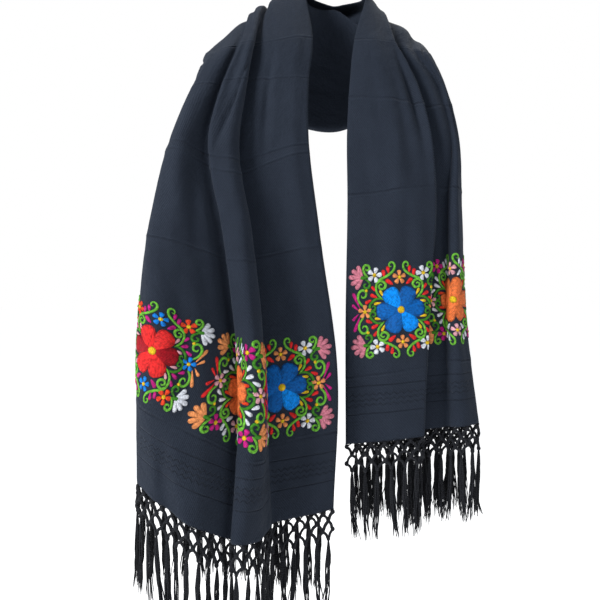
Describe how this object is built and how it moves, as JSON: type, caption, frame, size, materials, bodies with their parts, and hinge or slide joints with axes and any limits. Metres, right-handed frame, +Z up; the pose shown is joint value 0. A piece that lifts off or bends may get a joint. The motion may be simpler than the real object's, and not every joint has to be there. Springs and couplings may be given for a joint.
{
  "type": "embroidered shawl",
  "caption": "Dark twill shawl folded lengthwise and hung round a neck, both ends down the front, with embroidered flowers, woven zigzags and knotted tassel fringes.",
  "frame": {"origin": "middle of the wearer's neck at shoulder height", "axes": "+Z up along the wearer, -Y the way the wearer faces, +X to the wearer's left"},
  "size_m": [0.4921, 0.394, 0.9853],
  "materials": {
    "right_front_twill": "matt black-navy wool twill",
    "neck_wrap_twill": "matt black-navy wool twill",
    "left_front_twill": "matt black-navy wool twill",
    "right_fringe_cord": "twisted black cord",
    "left_fringe_cord": "twisted black cord"
  },
  "bodies": {
    "root": {"right_front": "right_front_twill", "neck_wrap": "neck_wrap_twill", "left_front": "left_front_twill", "right_fringe": "right_fringe_cord", "left_fringe": "left_fringe_cord"}
  },
  "joints": []
}
